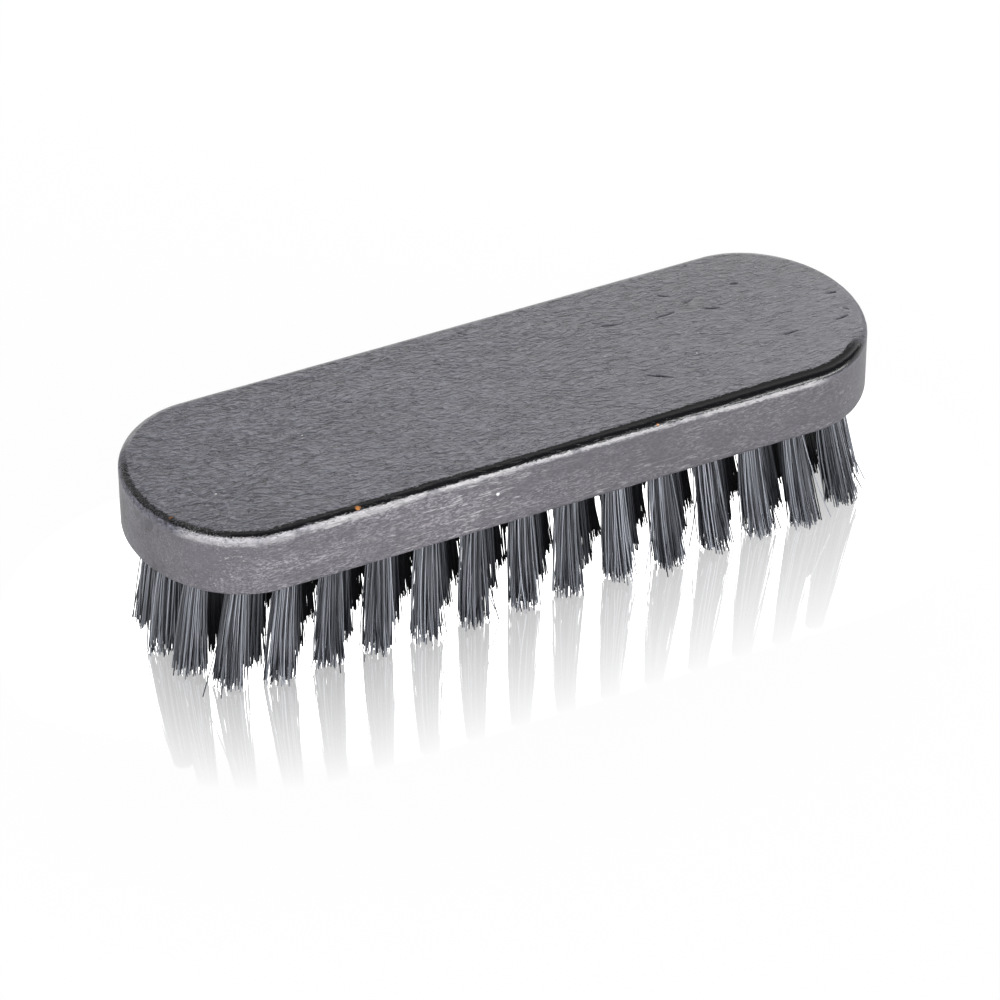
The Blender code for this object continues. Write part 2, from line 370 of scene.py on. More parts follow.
def bandMask(tree, at, band):
    # painted dark reflection: the front edge's band is painted near-black between two ragged borders, for
    # the dark surroundings a glossy edge would mirror there
    uneven = times(tree, at["ragged"], ranged(tree, at["x"], "bandRaggedness"))
    inner = added(tree, ranged(tree, at["x"], "bandInner"), uneven)
    outer = added(tree, band["outer"], times(tree, at["x"], band["widening"]),
                  times(tree, at["ragged"], raggedness["bandOuter"]))
    front = added(tree, at["y"], ranged(tree, at["x"], "bandSlant", smooth=False),
                  times(tree, at["ragged"], raggedness["bandFront"]))
    speckled = sums(tree, "MAXIMUM", ranged(tree, at["fine"], "bandSpeckles"),
                    ranged(tree, at["x"], "bandWholeEnd"))
    return times(tree, ranged(tree, sums(tree, "SUBTRACT", at["reached"], inner), "bandInnerBlend"),
                 ranged(tree, sums(tree, "SUBTRACT", at["reached"], outer), "bandOuterBlend"),
                 ranged(tree, front, "bandFront"), speckled)


def highlightMask(tree, at):
    # painted highlight: below the band the front edge is painted pale, where it would catch the light
    outer = added(tree, ranged(tree, at["x"], "highlightOuter"), ranged(tree, at["x"], "highlightWider"), at["ragged"])
    level = times(tree, ranged(tree, sums(tree, "SUBTRACT", at["reached"], outer), "highlightOuterBlend"),
                  ranged(tree, at["reached"], "highlightInnerBlend"))
    across = added(tree, sums(tree, "ABSOLUTE", at["y"]),
                   swing(tree, at["patches"], raggedness["highlightAcross"]))
    along = added(tree, at["x"], swing(tree, at["patches"], raggedness["highlightAlong"]))
    rightEnd = added(tree, at["x"], times(tree, at["ragged"], raggedness["highlightRightEnd"]))
    highlightSpan = times(tree, ranged(tree, along, "highlightAlong", smooth=False),
                 ranged(tree, rightEnd, "highlightRightEnd"), ranged(tree, at["highlightGaps"], "highlightGaps"))
    return times(tree, level, ranged(tree, across, "highlightAcross"), highlightSpan,
                 ranged(tree, at["streaks"], "highlightStreaks"))


def rearHighlightMask(tree, at):
    # painted highlight: the rear edge is painted pale too
    inner = added(tree, at["reached"], times(tree, at["ragged"], raggedness["rearInner"]))
    return times(tree, ranged(tree, inner, "rearInnerBlend"), ranged(tree, at["y"], "rearAcross"),
                 ranged(tree, at["x"], "rearAlong", smooth=False),
                 ranged(tree, at["reached"], "rearOuterBlend"))


def spotMask(tree, place, spots, ragged):
    found = None
    for x, y, z, radius in spots:
        near = added(tree, vectors(tree, "DISTANCE", place, (x, y, z)), ragged)
        mask = remap(tree, near, radius, radius * spotCore)
        found = mask if found is None else sums(tree, "MAXIMUM", found, mask)
    return found


def flatColour(tree, look, at):
    colour = paint(tree, (*look["flatDark"], 1.0), ranged(tree, at["clouds"], "clouds"), look["flat"])
    deeper = times(tree, ranged(tree, at["y"], "deeperAcross"), ranged(tree, at["x"], "deeperAlong"))
    colour = paint(tree, colour, deeper, look["flatDark"])
    # painted highlight on the high grain and painted shade in its hollows, along with grain rubbed paler and
    # stain kept in the hollows; less so towards the right end
    worked = ranged(tree, at["x"], "worked", smooth=False)
    high = added(tree, ranged(tree, at["relief"], "raisedRelief"), ranged(tree, at["cuts"], "raisedCuts"))
    hollow = added(tree, ranged(tree, at["relief"], "hollowRelief"), ranged(tree, at["cuts"], "hollowCuts"))
    colour = paint(tree, colour, times(tree, high, worked, look["ridgeWearAndHighlightShare"]), look["ridgeWearAndHighlight"])
    colour = paint(tree, colour, times(tree, hollow, worked, look["hollowStainAndShadeShare"]), look["pore"])
    pores = times(tree, at["pores"], ranged(tree, at["x"], "poresAlong", smooth=False))
    colour = paint(tree, colour, pores, look["pore"])
    stained = times(tree, ranged(tree, at["x"], "stainAlong"), ranged(tree, at["y"], "stainAcross"))
    return paint(tree, colour, stained, look["pore"])


def sideColour(tree, look, at):
    pores = times(tree, at["pores"], look["sidePoreShare"])
    colour = paint(tree, (*look["side"], 1.0), pores, look["pore"])
    middle = times(tree, ranged(tree, sums(tree, "ABSOLUTE", at["x"]), "scuffAndSheenEnds"),
                   ranged(tree, at["x"], "scuffAndSheenAlong"))
    streaky, speckly = look["speckleMix"]
    speckles = added(tree, times(tree, at["streaks"], streaky), times(tree, at["speckles"], speckly))
    # whitish scuffs, partly painted sheen flecks where bumps would catch the light
    scuffsAndSheen = times(tree, ranged(tree, speckles, "scuffsAndSheen"), ranged(tree, at["patches"], "scuffAndSheenPatches"),
                   middle, look["scuffAndSheenShare"])
    colour = paint(tree, colour, scuffsAndSheen, look["scuff"])
    # pale strokes: painted sheen, in the edge highlight's colour
    strokes = times(tree, ranged(tree, at["strokes"], "strokes"),
                    ranged(tree, at["strokePatches"], "strokePatches"), middle, look["strokeShare"])
    colour = paint(tree, colour, strokes, look["edgeHighlight"])
    stains = times(tree, ranged(tree, at["endStains"], "endStains"), ranged(tree, at["x"], "stainedEnd"),
                   look["endStainShare"])
    colour = paint(tree, colour, stains, look["pore"])
    return paint(tree, colour, ranged(tree, at["x"], "sideStainAlong"), look["pore"])


def woodColour(tree, look, at, black, highlit):
    colour = mixColours(tree, at["side"], flatColour(tree, look, at), sideColour(tree, look, at))
    nicks = times(tree, ranged(tree, at["nicks"], "nicks"), sums(tree, "SUBTRACT", 1.0, at["side"]),
                  look["nickShare"])
    colour = paint(tree, colour, nicks, look["nick"])
    # painted highlights along the front and rear edges
    colour = paint(tree, colour, sums(tree, "MAXIMUM", highlit, rearHighlightMask(tree, at)), look["edgeHighlight"])
    # painted shade: the cracks' sunk points are painted near-black
    cracked = times(tree, ranged(tree, attribute(tree, "sunk"), "cracks"), look["crackShadeShare"])
    colour = paint(tree, colour, cracked, look["rim"])
    # painted dark reflection on the front edge's band
    colour = paint(tree, colour, black, look["rim"])
    ragged = swing(tree, at["fine"], raggedness["spots"])
    colour = paint(tree, colour, spotMask(tree, at["place"], bareSpots, ragged), look["bareWood"])
    specks = spotMask(tree, at["place"], whiteSpecks, times(tree, ragged, raggedness["specks"]))
    colour = paint(tree, colour, specks, look["speck"])
    return paint(tree, colour, ranged(tree, at["reached"], "undersideFrom"), look["underside"])


def woodHeight(tree, look, at, black):
    height = added(tree, *(times(tree, at[name], share) for name, share in look["heights"].items()))
    return times(tree, height, ranged(tree, at["liftStrength"], "liftStrength"),
                 ranged(tree, at["x"], "heightAlong", smooth=False),
                 ranged(tree, at["side"], "heightOnSide", smooth=False),
                 ranged(tree, black, "heightOnBand", smooth=False))


def makeStainedWood(look):
    material, tree, shader = newMaterial("stainedWood")
    at = woodFields(tree)
    black = bandMask(tree, at, blackBand)
    highlit = highlightMask(tree, at)
    lowest, ridged = look["roughness"]
    rough = mixNumbers(tree, sums(tree, "MAXIMUM", black, highlit),
                       added(tree, lowest, times(tree, at["ridges"], ridged)),
                       ranged(tree, at["reached"], "glossFrom"))
    bump = addNode(tree, "ShaderNodeBump", {"Height": woodHeight(tree, look, at, black),
                                            "Distance": look["heightUnit"], "Strength": 1.0})
    tree.links.new(woodColour(tree, look, at, black, highlit), shader.inputs["Base Color"])
    tree.links.new(rough, shader.inputs["Roughness"])
    tree.links.new(bump.outputs["Normal"], shader.inputs["Normal"])
    shader.inputs["IOR"].default_value = look["ior"]
    return material


woodMaterial = makeStainedWood(stainedWood)


# black nylon: each strand has its own shade

blackNylon = {
    "darkest": (0.006, 0.007, 0.011),
    "palest": (0.30, 0.315, 0.355),
    "paleness": 1.5,  # a higher power leaves fewer pale strands
    "streak": 0.2,
    "streakSize": (1.2, 1.2, 0.18),  # turns a mm
    "roughness": (0.26, 0.14),  # lowest, and what the streaks add
    "ior": 1.53,
}


def makeBlackNylon(look):
    material, tree, shader = newMaterial("blackNylon")
    along = noiseAt(tree, vectors(tree, "MULTIPLY", placeInMm(tree), look["streakSize"]), 2.0)["Fac"]
    varied = sums(tree, "ADD", attribute(tree, "shade"), swing(tree, along, look["streak"]), clamp=True)
    # painted shade: the pale share is cut down on the inner rows
    share = times(tree, sums(tree, "POWER", varied, look["paleness"]), attribute(tree, "fade"))
    lowest, streaked = look["roughness"]
    tree.links.new(paint(tree, (*look["darkest"], 1.0), share, look["palest"]), shader.inputs["Base Color"])
    tree.links.new(added(tree, lowest, times(tree, along, streaked)), shader.inputs["Roughness"])
    shader.inputs["IOR"].default_value = look["ior"]
    return material


nylonMaterial = makeBlackNylon(blackNylon)
print("materials made")


# outline of the block

blockForm = {
    "endDepth": 20.0 * mm,  # reach of each rounded end past the straight sides
    "topEdge": 1.6 * mm,  # radii of the rounded edges
    "bottomEdge": 0.9 * mm,
    "topSteps": 9,
    "bottomSteps": 5,
    "flatRings": (0.15 * mm, 0.6 * mm, 1.2 * mm),  # rows of points on the top, past the rounded edge
    "around": 0.8 * mm,  # spacing of the points
    "upright": 0.8 * mm,
    "alongGrain": 0.95 * mm,
    "acrossGrain": 0.48 * mm,
    "gridMargin": 0.3 * mm,
    "holeDiameter": 4.6 * mm,
    "holeDepth": 4.0 * mm,
    "holeSides": 20,
    "holeRim": 0.97,  # share of the radius inside which no triangle is kept
    "waves": ((19.0, 11.0, 0.05), (7.0, 1.6, 0.022)),  # mm: length along X, across it, and height
    "waveDrop": 0.02,
    "flatBelow": 0.3 * mm,  # the lowest part stays flat
    "sharpAngle": 50.0,
}

halfLength = (blockHigh.x - blockLow.x) / 2
halfWidth = (blockHigh.y - blockLow.y) / 2
straight = halfLength - blockForm["endDepth"]


def lengthsAlong(points):
    reached = [0.0]
    for start, end in zip(points, points[1:]):
        reached.append(reached[-1] + (end - start).length)
    return reached


def endArc(angle, centre):
    # a point of the rounded end about a centre on the X axis, and the way out there
    depth = blockForm["endDepth"]
    point = Vector((centre + depth * math.cos(angle), halfWidth * math.sin(angle)))
    return point, Vector((math.cos(angle) / depth, math.sin(angle) / halfWidth)).normalized()


def blockOutline(step):
    dense, steps = [], 400
    for side in (1, -1):
        for k in range(steps + 1):
            dense.append(endArc(math.pi * (k / steps - 0.5 * side), side * straight))
    dense.append(dense[0])
    reached = lengthsAlong([point for point, _ in dense])
    count = 4 * round(reached[-1] / step / 4)
    ring, segment = [], 0
    for k in range(count):
        wanted = reached[-1] * k / count
        while reached[segment + 1] <= wanted:
            segment += 1
        span = reached[segment + 1] - reached[segment]
        share = (wanted - reached[segment]) / span if span > 0 else 0.0
        (start, startNormal), (end, endNormal) = dense[segment], dense[segment + 1]
        ring.append((start.lerp(end, share), startNormal.lerp(endNormal, share).normalized()))
    return ring


def edgeDistance(x, y):
    # about how far a point lies inside the outline
    over = max(abs(x) - straight, 0.0)
    if over == 0.0:
        return halfWidth - abs(y)
    reach = math.hypot(over / blockForm["endDepth"], y / halfWidth)
    slope = math.hypot(over / blockForm["endDepth"] ** 2, y / halfWidth ** 2) / reach
    return (1.0 - reach) / slope


# places of the tufts

tuftField = {
    "pitch": 9.65 * mm,
    "rows": 6,
    "sideInset": 5.2 * mm,
    "endInset": 7.6 * mm,
    "leastSpacing": 7.0 * mm,
    "endLean": 0.17,
    "unevenLean": 0.014,
}


def rimPlaces(field):
    side = halfWidth - field["sideInset"]
    quarter = [((k + 0.5) * field["pitch"], side) for k in range(int(straight / field["pitch"]))]
    start, steps = quarter[-1][0], 200
    curve = [Vector((start + (straight - start) * k / steps, side)) for k in range(steps)]
    for k in range(steps + 1):
        angle = math.pi / 2 * (1 - k / steps)
        inset = field["sideInset"] + (field["endInset"] - field["sideInset"]) * math.cos(angle) ** 2
        edge, normal = endArc(angle, straight)
        curve.append(edge - normal * inset)
    reached = lengthsAlong(curve)
    gaps = round(reached[-1] / field["pitch"])
    for k in range(1, gaps):
        wanted = reached[-1] * k / gaps
        quarter.append(tuple(next(point for point, far in zip(curve, reached) if far >= wanted)))
    quarter.append((curve[-1].x, 0.0))
    places = {(sx * x, sy * y) for x, y in quarter for sx in (1, -1) for sy in (1, -1)}
    return sorted(places, key=lambda place: math.atan2(place[1], place[0]))


def rowPlaces(field, number, rim):
    last = field["rows"] - 1
    y = (number - last / 2) * (2 * halfWidth - 2 * field["sideInset"]) / last

    def room(x, others):
        return min(math.dist((x, y), other) for other in others)

    x = 0.0 if min(number, last - number) % 2 else field["pitch"] / 2
    row = []
    while room(x, rim) >= field["leastSpacing"]:
        row.append(x)
        x += field["pitch"]
    neighbours = rim + [(row[-1], y)]
    spare = halfLength - field["endInset"] - row[-1]
    tries = 50
    spots = [row[-1] + spare * k / tries for k in range(1, tries)]
    widest = max(spots, key=lambda spot: room(spot, neighbours))
    if room(widest, neighbours) >= field["leastSpacing"]:
        row.append(widest)
    return sorted({(side * x, y) for x in row for side in (-1, 1)})


def leanAt(x):
    return tuftField["endLean"] * x / halfLength


rim = rimPlaces(tuftField)
tuftNodes = {f"rim_tuft_{k:02d}": [place] for k, place in enumerate(rim, 1)}
for k in range(1, tuftField["rows"] - 1):
    tuftNodes[f"inner_row_{k}"] = rowPlaces(tuftField, k, rim)
for name, places in tuftNodes.items():
    low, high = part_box(name)
    middle = sum(x for x, y in places) / len(places)
    print("tufts of", name, len(places), "off by", round(abs(middle - (low.x + high.x) / 2) / mm, 2), "mm")


# wooden block

cracks = [  # mm: both ends on the top face, half width and depth
    (25.8, -8.4, 30.9, -12.0, 0.42, 0.75),
    (70.0, 0.1, 73.0, -0.2, 0.20, 0.22),
    (67.1, -8.6, 70.2, -8.3, 0.18, 0.20),
    (55.7, -8.6, 59.5, -8.4, 0.18, 0.18),
    (70.3, -5.2, 72.2, -8.0, 0.14, 0.08),
    (46.0, 6.4, 49.7, 4.9, 0.18, 0.16),
    (55.0, 11.6, 57.0, 11.0, 0.16, 0.14),
    (63.9, -18.0, 67.0, -17.2, 0.16, 0.14),
    (-28.9, 9.6, -26.2, 7.5, 0.16, 0.14),
    (0.9, 20.2, 2.4, 18.5, 0.14, 0.12),
    (-72.0, 6.2, -69.2, 7.1, 0.14, 0.12),
    (12.5, -13.3, 19.1, -13.0, 0.30, 0.10),
    (40.7, 14.2, 43.1, 12.6, 0.16, 0.14),
    (26.1, 9.5, 30.5, 8.5, 0.18, 0.14),
    (36.5, 7.3, 41.4, 7.6, 0.18, 0.18),
    (43.9, 9.4, 46.6, 10.0, 0.14, 0.12),
    (-49.4, -14.2, -44.9, -15.4, 0.16, -0.10),
    (-12.0, -12.5, -11.5, -15.7, 0.14, -0.08),
]
crackParts = 10
crackRoom = 0.35  # mm kept free of other points

flatInside = -9.0  # the fromEdge attribute well inside the top, and well inside the underside
belowInside = 20.0


def blockLevels(form):
    # inset, height and way down from the flat's edge of each row of points
    top, bottom = form["topEdge"], form["bottomEdge"]
    low, high = blockLow.z + bottom, blockHigh.z - top
    fillet = top * math.pi / 2
    levels = []
    for k in range(form["bottomSteps"] + 1):
        angle = math.pi / 2 * k / form["bottomSteps"]
        reached = fillet + high - low + bottom * (math.pi / 2 - angle)
        levels.append((bottom * (1 - math.sin(angle)), blockLow.z + bottom * (1 - math.cos(angle)), reached))
    steps = round((high - low) / form["upright"])
    for k in range(1, steps):
        height = low + (high - low) * k / steps
        levels.append((0.0, height, fillet + high - height))
    for k in range(form["topSteps"] + 1):
        angle = math.pi / 2 * k / form["topSteps"]
        reached = top * (math.pi / 2 - angle)
        levels.append((top * (1 - math.cos(angle)), high + top * math.sin(angle), reached))
    return levels + [(top + reach, blockHigh.z, -reach) for reach in form["flatRings"]]


def topPoints(form):
    # mm: each crack's points with their depths, then a grid that leaves the cracks room
    points, depths = [], []
    for x0, y0, x1, y1, half, depth in cracks:
        start, end = Vector((x0, y0)), Vector((x1, y1))
        across = (end - start).normalized().orthogonal() * half
        for k in range(crackParts + 1):
            share = k / crackParts
            centre = start.lerp(end, share)
            wide = math.sin(math.pi * share)
            if 0 < k < crackParts:
                points += [centre + across * wide, centre - across * wide]
                depths += [0.0, 0.0]
            points.append(centre)
            depths.append(depth * wide)
    crackPoints = list(points)
    margin = form["topEdge"] + form["flatRings"][-1] + form["gridMargin"]
    stepX, stepY = form["alongGrain"] / mm, form["acrossGrain"] / mm
    columns, rows = int(halfLength / mm / stepX) + 1, int(halfWidth / mm / stepY)
    for row in range(-rows, rows + 1):
        for column in range(-columns, columns):
            point = Vector(((column + 0.5 * (row % 2)) * stepX, row * stepY))
            inside = edgeDistance(point.x * mm, point.y * mm) >= margin
            if inside and all((point - other).length >= crackRoom for other in crackPoints):
                points.append(point)
                depths.append(0.0)
    return points, depths


def makeBlock(form):
    bm = bmesh.new()
    ring = blockOutline(form["around"])
    fromEdge, rows = {}, []
    for inset, height, reached in blockLevels(form):
        row = [bm.verts.new((*(point - normal * inset), height)) for point, normal in ring]
        fromEdge.update({vert: reached / mm for vert in row})
        rows.append(row)
    for lower, upper in zip(rows, rows[1:]):
        for k in range(len(ring)):
            after = (k + 1) % len(ring)
            bm.faces.new((lower[k], lower[after], upper[after], upper[k]))

    def fill(border, inner, lines, height, upward, keep):
        # triangles between a border of points and the points within it
        size = len(border)
        coords = [Vector((vert.co.x, vert.co.y)) / mm for vert in border]
        coords += [Vector(point) for point in inner]
        edges = [(k, (k + 1) % size) for k in range(size)] + [(a + size, b + size) for a, b in lines]
        made = geometry.delaunay_2d_cdt(coords, edges, [], 1, 1e-6)
        points, triangles, origins = made[0], made[2], made[3]
        verts = []
        for point, origin in zip(points, origins):
            old = next((k for k in origin if k < size), None)
            if old is None:
                vert = bm.verts.new((point.x * mm, point.y * mm, height))
                fromEdge[vert] = flatInside if upward else belowInside
            else:
                vert = border[old]
            verts.append(vert)
        for triangle in triangles:
            if keep(sum((points[k] for k in triangle), Vector((0.0, 0.0))) / 3):
                corners = [verts[k] for k in triangle]
                bm.faces.new(corners if upward else corners[::-1])
        return {k - size: verts[index] for index, origin in enumerate(origins) for k in origin if k >= size}

    points, depths = topPoints(form)
    placed = fill(rows[-1], points, [], blockHigh.z, True, lambda centre: True)
    sunk = {placed[k]: depth * mm for k, depth in enumerate(depths) if depth}

    # underside with a hole for each tuft
    centres = [place for places in tuftNodes.values() for place in places]
    radius, sides = form["holeDiameter"] / 2, form["holeSides"]
    circles, holeEdges = [], []
    for number, (x, y) in enumerate(centres):
        for k in range(sides):
            angle = 2 * math.pi * k / sides
            circles.append(Vector((x + radius * math.cos(angle), y + radius * math.sin(angle))) / mm)
            holeEdges.append((number * sides + k, number * sides + (k + 1) % sides))

    def solid(centre):
        return all((centre - Vector(place) / mm).length > radius / mm * form["holeRim"] for place in centres)

    placed = fill(rows[0], circles, holeEdges, blockLow.z, False, solid)
    for number, (x, y) in enumerate(centres):
        mouth = [placed[number * sides + k] for k in range(sides)]
        inward = Vector((-leanAt(x), 0.0, 1.0)) * form["holeDepth"]
        deep = [bm.verts.new(vert.co + inward) for vert in mouth]
        fromEdge.update({vert: belowInside for vert in deep})
        for k in range(sides):
            after = (k + 1) % sides
            bm.faces.new((mouth[k], mouth[after], deep[after], deep[k]))
        bm.faces.new(deep)

    bmesh.ops.recalc_face_normals(bm, faces=bm.faces)
    bm.normal_update()
    moved = []
    for vert in bm.verts:
        x, y, z = vert.co / mm
        drift = sum(noise.noise(Vector((x / long, y / wide, z / wide))) * high
                    for long, wide, high in form["waves"])
        if vert.co.z < blockLow.z + form["flatBelow"]:
            drift = form["waveDrop"]
        sinking = Vector((0.0, 0.0, sunk.get(vert, 0.0)))
        moved.append(vert.co + vert.normal * ((drift - form["waveDrop"]) * mm) - sinking)
    for vert, place in zip(bm.verts, moved):
        vert.co = place

    reaches = [fromEdge[vert] for vert in bm.verts]
    depths = [sunk.get(vert, 0.0) / mm for vert in bm.verts]
    mesh = bpy.data.meshes.new("woodenBlock")
    bm.to_mesh(mesh)
    bm.free()
    mesh.attributes.new("fromEdge", "FLOAT", "POINT").data.foreach_set("value", reaches)
    mesh.attributes.new("sunk", "FLOAT", "POINT").data.foreach_set("value", depths)
    mesh.shade_smooth()
    mesh.set_sharp_from_angle(angle=math.radians(form["sharpAngle"]))
    mesh.materials.append(woodMaterial)
    block = bpy.data.objects.new("woodenBlock", mesh)
    bpy.context.scene.collection.objects.link(block)
    return block


block = makeBlock(blockForm)
block.visible_glossy = False  # the floor's mirror image shows bristles only
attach(block, "root")
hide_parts("wooden_block")
print("wooden block made:", len(block.data.polygons), "faces")


# tufts

nylonTufts = {
    "Strands": 150,
    "Strand Diameter": 0.225 * mm,
    "Strand Sides": 5,
    "Bends": 5,
    "Bristle Length": underside,
    "Depth in Hole": 2.5 * mm,
    "Root Radius": 1.95 * mm,
    "Tip Radius": 3.0 * mm,
    "Bunching": 0.9 * mm,
    "Looseness": 0.60 * mm,
    "Bow": 0.42 * mm,
    "Uneven Trim": 2.8 * mm,
    "Stray Share": 0.02,
    "Stray Reach": 1.8 * mm,
    "Sweep": (1.35 * mm, 0.9 * mm, 0.0),
    "Fade": 1.0,  # painted shade: share of the pale strand tone; the outer tufts keep all of it, the inner rows little
}

strandPattern = {
    "turn": 2.399963,  # radians from one strand to the next
    "bunchScale": 2.6,
    "trimScale": 3.5,
    "trimPower": 2.5,
    "trimSpread": 0.75,  # share of the uneven trim that goes strand by strand
    "trimBunches": (0.35, 0.65, 0.0, 0.4),  # and what goes by bunches
    "mapAround": (0.0, 1.0, 0.1, 0.9),
    "mapAlong": (0.0, 1.0, 0.03, 0.97),
}

strandSeeds = {"looseness": 11, "bow": 23, "isStray": 37, "strayWay": 41, "trim": 53, "shade": 67}


def makeTuftTree(pattern):
    tree = bpy.data.node_groups.new("nylonTufts", "GeometryNodeTree")
    tree.is_modifier = True
    sockets = tree.interface
    sockets.new_socket("Geometry", in_out="INPUT", socket_type="NodeSocketGeometry")
    for name, value in nylonTufts.items():
        kind = {int: "NodeSocketInt", float: "NodeSocketFloat", tuple: "NodeSocketVector"}[type(value)]
        sockets.new_socket(name, in_out="INPUT", socket_type=kind)
    sockets.new_socket("Tufts", in_out="INPUT", socket_type="NodeSocketInt")
    sockets.new_socket("Seed", in_out="INPUT", socket_type="NodeSocketInt")
    sockets.new_socket("Material", in_out="INPUT", socket_type="NodeSocketMaterial")
    sockets.new_socket("Geometry", in_out="OUTPUT", socket_type="NodeSocketGeometry")
    given = addNode(tree, "NodeGroupInput").outputs

    def randomVector(reach, draw):
        values = {0: scaled(tree, (-1.0, -1.0, 0.0), reach), 1: scaled(tree, (1.0, 1.0, 0.0), reach),
                  8: added(tree, given["Seed"], strandSeeds[draw])}
        return addNode(tree, "FunctionNodeRandomValue", values, data_type="FLOAT_VECTOR").outputs[0]

    def randomNumber(draw):
        values = {2: 0.0, 3: 1.0, 8: added(tree, given["Seed"], strandSeeds[draw])}
        return addNode(tree, "FunctionNodeRandomValue", values, data_type="FLOAT").outputs[1]

    def combined(x, y, z=0.0):
        return addNode(tree, "ShaderNodeCombineXYZ", {0: x, 1: y, 2: z}).outputs[0]

    def joined(*values):
        first = values[0]
        for other in values[1:]:
            first = vectors(tree, "ADD", first, other)
        return first

    def captured(shape, fields):
        node = addNode(tree, "GeometryNodeCaptureAttribute", {0: shape}, domain="POINT")
        for name, (kind, socket) in fields.items():
            node.capture_items.new(kind, name)
            tree.links.new(socket, node.inputs[name])
        return node.outputs

    def stored(shape, name, value, kind="FLOAT", domain="POINT"):
        values = {0: shape, "Name": name, "Value": value}
        node = addNode(tree, "GeometryNodeStoreNamedAttribute", values, data_type=kind, domain=domain)
        return node.outputs[0]

    def named(name, kind):
        return addNode(tree, "GeometryNodeInputNamedAttribute", {0: name}, data_type=kind).outputs[0]

    # one point for each strand, with its places at the root and at the tip
    points = addNode(tree, "GeometryNodeMeshToPoints", {"Mesh": given["Geometry"]}).outputs[0]
    numbered = captured(points, {"Tuft": ("INT", addNode(tree, "GeometryNodeInputIndex").outputs[0])})
    copies = addNode(tree, "GeometryNodeDuplicateElements",
                     {"Geometry": numbered[0], "Amount": given["Strands"]}, domain="POINT")
    strand = copies.outputs["Duplicate Index"]
    turn = named("turn", "FLOAT")
    share = sums(tree, "SQRT", sums(tree, "DIVIDE", added(tree, strand, 0.5), given["Strands"]))
    angle = added(tree, times(tree, strand, pattern["turn"]), turn)
    ray = combined(sums(tree, "COSINE", angle), sums(tree, "SINE", angle))
    disc = scaled(tree, ray, share)
    seedShift = combined(turn, given["Seed"], turn)
    drift = noiseAt(tree, joined(scaled(tree, disc, pattern["bunchScale"]), seedShift), 1.0)["Color"]
    drift = vectors(tree, "MULTIPLY", vectors(tree, "SUBTRACT", drift, (0.5, 0.5, 0.5)), (2.0, 2.0, 0.0))
    tip = joined(scaled(tree, disc, given["Tip Radius"]), scaled(tree, drift, given["Bunching"]),
                 randomVector(given["Looseness"], "looseness"))
    isStray = sums(tree, "LESS_THAN", randomNumber("isStray"), given["Stray Share"])
    outward = scaled(tree, ray, given["Stray Reach"])
    stray = scaled(tree, joined(outward, randomVector(given["Stray Reach"], "strayWay")), isStray)
    level = noiseAt(tree, joined(scaled(tree, disc, pattern["trimScale"]), seedShift), 2.0)["Fac"]
    single = sums(tree, "POWER", randomNumber("trim"), pattern["trimPower"])
    single = times(tree, single, pattern["trimSpread"])
    cut = added(tree, single, remap(tree, level, *pattern["trimBunches"], smooth=False))
    kept = captured(copies.outputs[0], {
        "Centre": ("VECTOR", addNode(tree, "GeometryNodeInputPosition").outputs[0]),
        "Lean": ("VECTOR", named("lean", "FLOAT_VECTOR")),
        "Root": ("VECTOR", scaled(tree, disc, given["Root Radius"])),
        "Tip": ("VECTOR", tip),
        "Bow": ("VECTOR", randomVector(given["Bow"], "bow")),
        "Stray": ("VECTOR", stray),
        "Cut": ("FLOAT", times(tree, cut, given["Uneven Trim"])),
        "Strand": ("INT", strand),
        "Tuft": ("INT", numbered["Tuft"]),
    })
    shaded = stored(kept[0], "shade", randomNumber("shade"))
    shaded = stored(shaded, "fade", given["Fade"])

    # a line on each point, bent from the root to the tip
    line = addNode(tree, "GeometryNodeCurvePrimitiveLine").outputs[0]
    fineLine = addNode(tree, "GeometryNodeResampleCurve",
                       {"Curve": line, "Count": added(tree, given["Bends"], 1.0)}).outputs[0]
    placed = addNode(tree, "GeometryNodeInstanceOnPoints",
                     {"Points": shaded, "Instance": fineLine}).outputs[0]
    lines = addNode(tree, "GeometryNodeRealizeInstances", {0: placed}).outputs[0]
    along = addNode(tree, "GeometryNodeSplineParameter").outputs["Factor"]
    full = added(tree, given["Bristle Length"], given["Depth in Hole"])
    length = sums(tree, "SUBTRACT", full, kept["Cut"])
    below = sums(tree, "SUBTRACT", times(tree, along, length), given["Depth in Hole"])
    spread = sums(tree, "DIVIDE", below, given["Bristle Length"])
    offset = addNode(tree, "ShaderNodeMix", {0: spread, 4: kept["Root"], 5: kept["Tip"]},
                     data_type="VECTOR", clamp_factor=False).outputs[1]
    arch = times(tree, along, sums(tree, "SUBTRACT", 1.0, along), 4.0)
    curl = sums(tree, "POWER", along, 2.0)
    place = joined(kept["Centre"], scaled(tree, kept["Lean"], below), offset,
                   scaled(tree, kept["Bow"], arch),
                   scaled(tree, joined(kept["Stray"], given["Sweep"]), curl))
    bent = addNode(tree, "GeometryNodeSetPosition", {"Geometry": lines, "Position": place}).outputs[0]
    bentKept = captured(bent, {"Along": ("FLOAT", along)})

